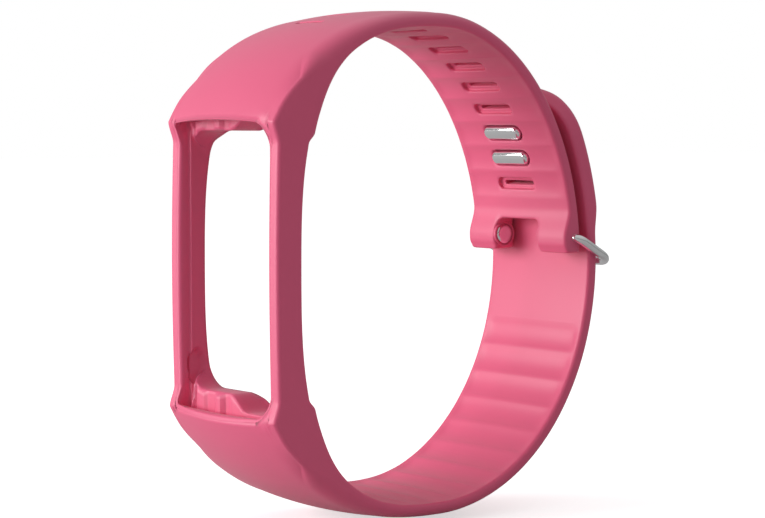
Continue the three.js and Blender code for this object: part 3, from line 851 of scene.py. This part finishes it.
def upper_strap():
    cells = [slot_distance(n - 0.5) for n in range(SLOT_COUNT, -1, -1)]
    cuts = [slot_distance(10.5), slot_distance(5.5)]
    first = [c for c in cells if c <= cuts[0] + 0.1]
    middle = [c for c in cells if cuts[0] - 0.1 <= c <= cuts[1] + 0.1]
    last = [c for c in cells if c >= cuts[1] - 0.1]
    step = SLOT_PITCH / 12
    zones = [
        ("upper_root_skin", [CRADLE_CUT] + first, range(11, SLOT_COUNT), "upper_strap_root",
         "upper_strap_open", None),
        ("upper_middle_skin", middle, range(6, 11), "upper_strap_middle", "upper_strap_bend", None),
        ("upper_end_skin", last + [END - NOTCH_PATCH, END - EAR_CAP], range(0, 6), "upper_strap_end",
         "upper_strap_curl", ears),
    ]
    for name, knots, numbers, node, joint, finish in zones:
        holes = [slot_hole(n) for n in numbers]
        rows = rows_between(knots, step)
        obj = band_skin(name, rows, holes, finish, (True, finish is None))
        bend(obj, joint)
        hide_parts(node)


def button_pad():
    """The soft domed pad in the far rail, pressed inwards."""
    skin, rings = Skin(), []
    base, crest = pad_low[0] + PAD_DEPTH, pad_low[0] + SKIN_INSET
    for shrink, depth in PAD_DOME:
        y, z = pad_outline(-shrink)
        rings.append(skin.add(np.stack([np.full_like(y, lerp(crest, base, depth)), y, z], -1)))
    for a, b in zip(rings, rings[1:]):
        skin.bridge(a, b)
    skin.cap(rings[0][::-1])
    skin.cap(rings[-1])
    obj = skin.make("button_pad_skin", silicone, True)
    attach(obj, "button")
    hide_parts("button_pad")


EAR_CAP = 0.45
NOTCH_HALF = 4.2
NOTCH_DEPTH = 4.1
NOTCH_RADIUS = 1.2


def ears(skin, index, rows, keep):
    """The notch between the two ears, and the rounded ends of the ears."""
    top = int(np.argmin(np.abs(rows - (END - NOTCH_PATCH))))
    last = len(rows) - 1
    keep[top:, :CENTRE] = False
    keep[top:, INNER_START:INNER_START + CENTRE] = False

    def walk(pick):
        up = [index[r, pick(0)] for r in range(last, top, -1)]
        across = [index[top, pick(c)] for c in range(CENTRE + 1)]
        down = [index[r, pick(CENTRE)] for r in range(top + 1, last + 1)]
        return np.array(up + across + down, int)

    outer, inner = walk(lambda c: c), walk(lambda c: INNER_START + CENTRE - c)
    side = rows[last] - rows[top]
    depth = np.concatenate([np.arange(last - top) / (last - top), np.ones(CENTRE + 1),
                            np.arange(last - top)[::-1] / (last - top)])
    fx = np.concatenate([-np.ones(last - top), np.linspace(-1, 1, CENTRE + 1), np.ones(last - top)])
    rings = []

    def surface(half_x, reach, radius, height):
        x, d = rounded(fx, depth, half_x, reach, radius)
        rings.append(path.point(x, rows[last] - d, height(x, rows[last] - d)))

    notch = NOTCH_DEPTH - EAR_CAP
    soft = 0.35
    half = SLOT_PATCH + EAR_PATCH_GROWTH
    for t in (0.3, 0.6, 0.85):
        surface(lerp(half, NOTCH_HALF + soft, t), lerp(side, notch + soft, t),
                (NOTCH_RADIUS + soft) * t, outer_offset)
    for turn in FILLET_TURNS:
        grow, fall = soft * (1 - math.sin(turn)), soft * (1 - math.cos(turn))
        surface(NOTCH_HALF + grow, notch + grow, NOTCH_RADIUS + grow,
                lambda x, s: outer_offset(x, s) - fall)
    for t in (0.2, 0.4, 0.6, 0.8):
        surface(NOTCH_HALF, notch, NOTCH_RADIUS,
                lambda x, s: lerp(outer_offset(x, s) - soft, inner_offset(x, s) + soft, t))
    for turn in FILLET_TURNS[::-1]:
        grow, rise = soft * (1 - math.sin(turn)), soft * (1 - math.cos(turn))
        surface(NOTCH_HALF + grow, notch + grow, NOTCH_RADIUS + grow,
                lambda x, s: inner_offset(x, s) + rise)
    for t in (0.4, 0.75):
        surface(lerp(NOTCH_HALF + soft, half, t), lerp(notch + soft, side, t),
                (NOTCH_RADIUS + soft) * (1 - t), inner_offset)
    start = skin.count
    strip(skin, rings, outer, inner, closed=False)
    size = len(outer)
    chain = [start + k * size for k in range(len(rings))]
    right = list(index[last, CENTRE:INNER_START + 1]) + [c + size - 1 for c in chain[::-1]]
    left = list(index[last, INNER_START + CENTRE:]) + [index[last, 0]] + chain
    for loop in (right, left):
        close_end(skin, [int(i) for i in loop], END)


def close_end(skin, loop, end):
    """Rounds off and closes a loop of vertices that faces the end of the strap."""
    points = np.concatenate(skin.points)[loop]
    middle = points.mean(0)
    _, _, ny, nz = path.at(end)
    along = np.array([0.0, float(nz), -float(ny)])
    previous = np.array(loop)
    for turn in np.radians([25, 50, 70, 90]):
        reach = EAR_CAP * math.sin(turn)
        share = 1 - EAR_CAP * (1 - math.cos(turn)) / 1.9
        ring = skin.add(middle + (points - middle) * share + along * reach)
        skin.bridge(previous, ring)
        previous = ring
    for share in (0.7, 0.35):
        ring = skin.add(middle + (points - middle) * share + along * EAR_CAP)
        skin.bridge(previous, ring)
        previous = ring
    centre = skin.add([middle + along * EAR_CAP])
    following = np.roll(previous, -1)
    skin.caps.extend([int(a), int(b), int(centre[0])] for a, b in zip(previous, following))


def lower_strap():
    cuts = [-CRADLE_CUT, -(ROOT + LOWER_ZONE / 2), -(ROOT + 1.5 * LOWER_ZONE), -74.0]
    zones = [
        ("lower_root_skin", cuts[0], cuts[1], ["lower_strap_root"], "lower_strap_open"),
        ("lower_middle_skin", cuts[1], cuts[2], ["lower_strap_middle"], "lower_strap_bend"),
        ("lower_end_skin", cuts[2], cuts[3], ["lower_strap_end"], "lower_strap_curl"),
    ]
    for name, start, end, nodes, joint in zones:
        obj = band_skin(name, rows_between([end, start], 0.31))
        bend(obj, joint)
        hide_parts(*nodes)
    tip = TAIL_TIP + TIP_LENGTH * (1 - np.sin(np.linspace(0.02, 1, 40) * math.pi / 2))
    body = rows_between([TAIL_TIP + TIP_LENGTH, cuts[3]], 0.3)
    rows = np.concatenate([np.sort(tip)[:-1], body])
    rows = rows[rows > TAIL_TIP + 1e-4]
    obj = band_skin("strap_tail_skin", rows)
    bend(obj, "tail_lift", 2.6)
    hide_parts("strap_tail")


# ---------------------------------------------------------------- steel pieces

RING_AXIS = np.array([0, JOINTS["ring_swing"]["pos_m"][1], JOINTS["ring_swing"]["pos_m"][2]]) / MM
WIRE_RADIUS = 0.56
RING_OUT = 5.37
RING_DROP = 3.1
RING_CLEARANCE = 0.15
RING_SIDE = STRAP_HALF + RING_CLEARANCE + WIRE_RADIUS
RING_CORNERS = (1.0, 2.0)
WIRE_END = 5.1
STUD = (3.42, 0.86)  # half length and half width
STUD_TIP, STUD_FOOT = -0.28, 2.8
STUD_SOFT = 0.5
WIRE_SIDES, LATHE_SIDES = 24, 48
# Distance from the middle plane and radius of each ring of the wire's heads and of their collars
HEAD = ((4.78, 1.2), (4.5, 1.3), (4.14, 1.3), (4.06, 1.27), (4.0, 1.2), (3.95, 1.08), (3.92, 0.95),
        (3.93, 0.7), (3.95, 0.4), (3.95, 0.1))
COLLAR = ((4.4, 1.36), (4.1, 1.36), (4.02, 1.4), (3.99, 1.48), (4.02, 1.56), (4.1, 1.62), (4.4, 1.66))


def arc(centre, radius, start, end, count=10):
    turn = np.radians(np.linspace(start, end, count))
    return np.stack([centre[0] + radius * np.cos(turn), centre[1] + radius * np.sin(turn)], -1)


def buckle_ring():
    """One wire bent into a C, its ends inside the two ears."""
    reach = math.hypot(RING_OUT, RING_DROP)
    small, large = RING_CORNERS
    half = np.concatenate([
        [[x, 0.0] for x in np.linspace(WIRE_END, RING_SIDE - small, 8, endpoint=False)],
        arc((RING_SIDE - small, small), small, -90, 0),
        [[RING_SIDE, r] for r in np.linspace(small, reach - large, 8)[1:-1]],
        arc((RING_SIDE - large, reach - large), large, 0, 90, 16),
        [[x, reach] for x in np.linspace(RING_SIDE - large, 0, 12)[1:-1]],
    ])
    line = np.concatenate([half, half[::-1] * [-1, 1]])
    out = np.array([0, RING_OUT, -RING_DROP]) / reach
    points = RING_AXIS + line[:, :1] * [1.0, 0, 0] + line[:, 1:] * out
    tangent = np.gradient(points, axis=0)
    tangent /= np.linalg.norm(tangent, axis=1)[:, None]
    flat = np.cross([1.0, 0, 0], out)
    skin, rings = Skin(), []
    turn = np.linspace(0, 2 * math.pi, WIRE_SIDES, endpoint=False)
    for point, along in zip(points, tangent):
        across = np.cross(flat, along)
        circle = np.cos(turn)[:, None] * across + np.sin(turn)[:, None] * flat
        rings.append(skin.add(point + WIRE_RADIUS * circle))
    for a, b in zip(rings, rings[1:]):
        skin.bridge(a, b)
    skin.cap(rings[0][::-1])
    skin.cap(rings[-1])
    obj = skin.make("wire_ring", steel)
    finish_steel(obj, "ring", "buckle_ring")


def lathe(name, profile, hand, material, close=True):
    """Turns a profile of (distance from the middle plane, radius) about the ring's axis."""
    skin, rings = Skin(), []
    turn = np.linspace(0, 2 * math.pi, LATHE_SIDES, endpoint=False)
    for x, radius in profile:
        across = np.full(LATHE_SIDES, hand * x)
        circle = np.stack([across, radius * np.cos(turn), radius * np.sin(turn)], -1)
        rings.append(skin.add(RING_AXIS + circle))
    pairs = list(zip(rings, rings[1:])) + ([] if close else [(rings[-1], rings[0])])
    for a, b in pairs:
        skin.bridge(*((a, b) if hand < 0 else (b, a)))
    if close:
        skin.cap(rings[0][::hand])
        skin.cap(rings[-1][::-hand])
    return skin.make(name, material, True)


def ring_caps():
    """Domed heads that close the ring's ends, each with a soft collar moulded round its seat."""
    for side, hand in (("near", 1), ("far", -1)):
        cap = lathe(f"ring_head_{side}", HEAD, hand, steel)
        finish_steel(cap, "ring", f"ring_cap_{side}")
        seat = lathe(f"ear_collar_{side}", COLLAR, hand, silicone, close=False)
        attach(seat, "upper_end")


def finish_steel(obj, body, node):
    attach(obj, body)
    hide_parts(node)


def stadium(half_length, half_width, count=48):
    turn = np.linspace(0, 2 * math.pi, count, endpoint=False) + math.pi / count
    reach = half_length - half_width
    x = half_width * np.cos(turn) + np.sign(np.cos(turn)) * reach
    return x, half_width * np.sin(turn)


def clasp_stud(name, number, node):
    y, z, ny, nz = path.at(slot_distance(number))
    normal, along = np.array([0, ny, nz]), np.array([0, nz, -ny])
    skin, rings = Skin(), []
    levels = [(STUD_SOFT + 0.27, STUD_TIP - 0.03), (STUD_SOFT + 0.18, STUD_TIP - 0.015)]
    for turn in np.radians([0, 15, 30, 45, 60, 75, 90]):
        levels.append((STUD_SOFT * (1 - math.sin(turn)), STUD_TIP + STUD_SOFT * (1 - math.cos(turn))))
    levels += [(0, 1.0), (0, STUD_FOOT)]
    for shrink, height in levels:
        x, w = stadium(STUD[0] - shrink, STUD[1] - shrink)
        spot = np.array([0, y, z]) + normal * height
        rings.append(skin.add(spot + x[:, None] * [1.0, 0, 0] + w[:, None] * along))
    for a, b in zip(rings, rings[1:]):
        skin.bridge(b, a)
    skin.cap(rings[0])
    skin.cap(rings[-1][::-1])
    finish_steel(skin.make(name, steel, True), "tail", node)


def clasp_plate():
    """The curved plate that carries the studs, let into the tail's inner face."""
    start, end = plate_span()
    middle, half_s = (start + end) / 2, (start - end) / 2
    sides = np.concatenate([np.linspace(-1, 1, 30, endpoint=False)] * 4)
    block = np.repeat(np.arange(4), 30)
    fx = np.select([block == 0, block == 1, block == 2, block == 3], [sides, 1, -sides, -1])
    fs = np.select([block == 0, block == 1, block == 2, block == 3], [-1, sides, 1, -sides])
    skin, rings = Skin(), []
    edge = [(1 - math.sin(t), 1 - math.cos(t)) for t in np.radians([0, 30, 60, 90])]
    soft, inner, outer = 0.18, PLATE_RECESS, PLATE_RECESS + PLATE_THICKNESS
    levels = [(share * PLATE_HALF, inner) for share in (0.98, 0.75, 0.5, 0.25)]
    levels += [(soft * a, inner + soft * b) for a, b in edge]
    levels += [(soft * a, outer - soft * b) for a, b in edge[::-1]]
    levels += [(share * PLATE_HALF, outer) for share in (0.25, 0.5, 0.75, 0.98)]
    for shrink, height in levels:
        share = 1 - shrink / PLATE_HALF
        x, s = rounded(fx, fs, PLATE_HALF * share, half_s * share, 1.2 * share)
        rings.append(skin.add(path.point(x, middle + s, height)))
    for a, b in zip(rings, rings[1:]):
        skin.bridge(a, b)
    skin.cap(rings[0][::-1])
    skin.cap(rings[-1])
    finish_steel(skin.make("clasp_backplate", steel, True), "tail", "clasp_plate")


# ---------------------------------------------------------------- run


DOME = (-0.25, 0.95, 0.21, 0.55)  # from height, to height, and the dome's light at each
FLOOR_REACH, FLOOR_DROP = 3.0, 0.0005
FLOOR_GLOW, FLOOR_BOUNCE = 0.6, 0.6
KEY_PLACE = (-0.34, -0.56, 0.06)
KEY_SIZE, KEY_POWER = 0.5, 5.8
CAMERA_PLACE = (0.23118, -0.17233, 0.01633)
CAMERA_AZIMUTH, CAMERA_ELEVATION = 53.64, 3.18
CAMERA_LENS = 110.57


def studio():
    scene = bpy.context.scene
    world = bpy.data.worlds.new("studio")
    world.use_nodes = True
    nodes, links = world.node_tree.nodes, world.node_tree.links
    background = nodes["Background"]
    place = nodes.new("ShaderNodeTexCoord")
    height = nodes.new("ShaderNodeSeparateXYZ")
    links.new(place.outputs["Generated"], height.inputs["Vector"])
    dome = nodes.new("ShaderNodeMapRange")
    dome.interpolation_type = "SMOOTHSTEP"
    for socket, value in zip(("From Min", "From Max", "To Min", "To Max"), DOME):
        dome.inputs[socket].default_value = value
    links.new(height.outputs["Z"], dome.inputs["Value"])
    links.new(dome.outputs["Result"], background.inputs["Strength"])
    white = nodes.new("ShaderNodeBackground")
    eye = nodes.new("ShaderNodeLightPath")
    choose = nodes.new("ShaderNodeMixShader")
    links.new(eye.outputs["Is Camera Ray"], choose.inputs[0])
    links.new(background.outputs[0], choose.inputs[1])
    links.new(white.outputs[0], choose.inputs[2])
    links.new(choose.outputs[0], nodes["World Output"].inputs["Surface"])
    for node in (background, white):
        node.inputs["Color"].default_value = (1, 1, 1, 1)
    scene.world = world
    scene.view_settings.view_transform = "Standard"
    floor_mesh = bpy.data.meshes.new("floor")
    reach, height = FLOOR_REACH, cad_box[0][2] - FLOOR_DROP
    corners = [(x * reach, y * reach, height) for x, y in ((-1, -1), (1, -1), (1, 1), (-1, 1))]
    floor_mesh.from_pydata(corners, [], [(0, 1, 2, 3)])
    material, nodes, links, shader = new_material("pale_floor")
    shader.inputs["Base Color"].default_value = (0.95, 0.95, 0.95, 1)
    shader.inputs["Roughness"].default_value = 0.9
    shader.inputs["Emission Color"].default_value = (1, 1, 1, 1)
    shader.inputs["Emission Strength"].default_value = FLOOR_GLOW
    bounce = nodes.new("ShaderNodeBsdfDiffuse")
    bounce.inputs["Color"].default_value = (FLOOR_BOUNCE, FLOOR_BOUNCE, FLOOR_BOUNCE, 1)
    eye = nodes.new("ShaderNodeLightPath")
    choose = nodes.new("ShaderNodeMixShader")
    links.new(eye.outputs["Is Camera Ray"], choose.inputs[0])
    links.new(bounce.outputs[0], choose.inputs[1])
    links.new(shader.outputs[0], choose.inputs[2])
    links.new(choose.outputs[0], nodes["Material Output"].inputs["Surface"])
    floor_mesh.materials.append(material)
    floor = bpy.data.objects.new("floor", floor_mesh)
    bpy.context.collection.objects.link(floor)


def area_light(name, place, target, size, power):
    light = bpy.data.lights.new(name, "AREA")
    light.size = size
    light.energy = power
    obj = bpy.data.objects.new(name, light)
    obj.location = place
    obj.rotation_euler = (Vector(target) - Vector(place)).to_track_quat("-Z", "Y").to_euler()
    bpy.context.collection.objects.link(obj)


def camera():
    azimuth, elevation = math.radians(CAMERA_AZIMUTH), math.radians(CAMERA_ELEVATION)
    back = Vector((math.sin(azimuth) * math.cos(elevation), -math.cos(azimuth) * math.cos(elevation),
                   math.sin(elevation)))
    right = Vector((math.cos(azimuth), math.sin(azimuth), 0))
    up = back.cross(right)
    data = bpy.data.cameras.new("camera")
    data.sensor_width = 36
    data.lens = CAMERA_LENS
    data.clip_start = 0.01
    obj = bpy.data.objects.new("camera", data)
    obj.matrix_world = Matrix.Translation(CAMERA_PLACE) @ Matrix((right, up, back)).transposed().to_4x4()
    bpy.context.collection.objects.link(obj)
    bpy.context.scene.camera = obj


cradle()
upper_strap()
lower_strap()
buckle_ring()
ring_caps()
clasp_plate()
clasp_stud("stud_upper", STUD_SLOTS[1], "clasp_stud_upper")
clasp_stud("stud_lower", STUD_SLOTS[0], "clasp_stud_lower")
button_pad()
studio()
area_light("key", KEY_PLACE, (0, 0, 0), KEY_SIZE, KEY_POWER)
camera()
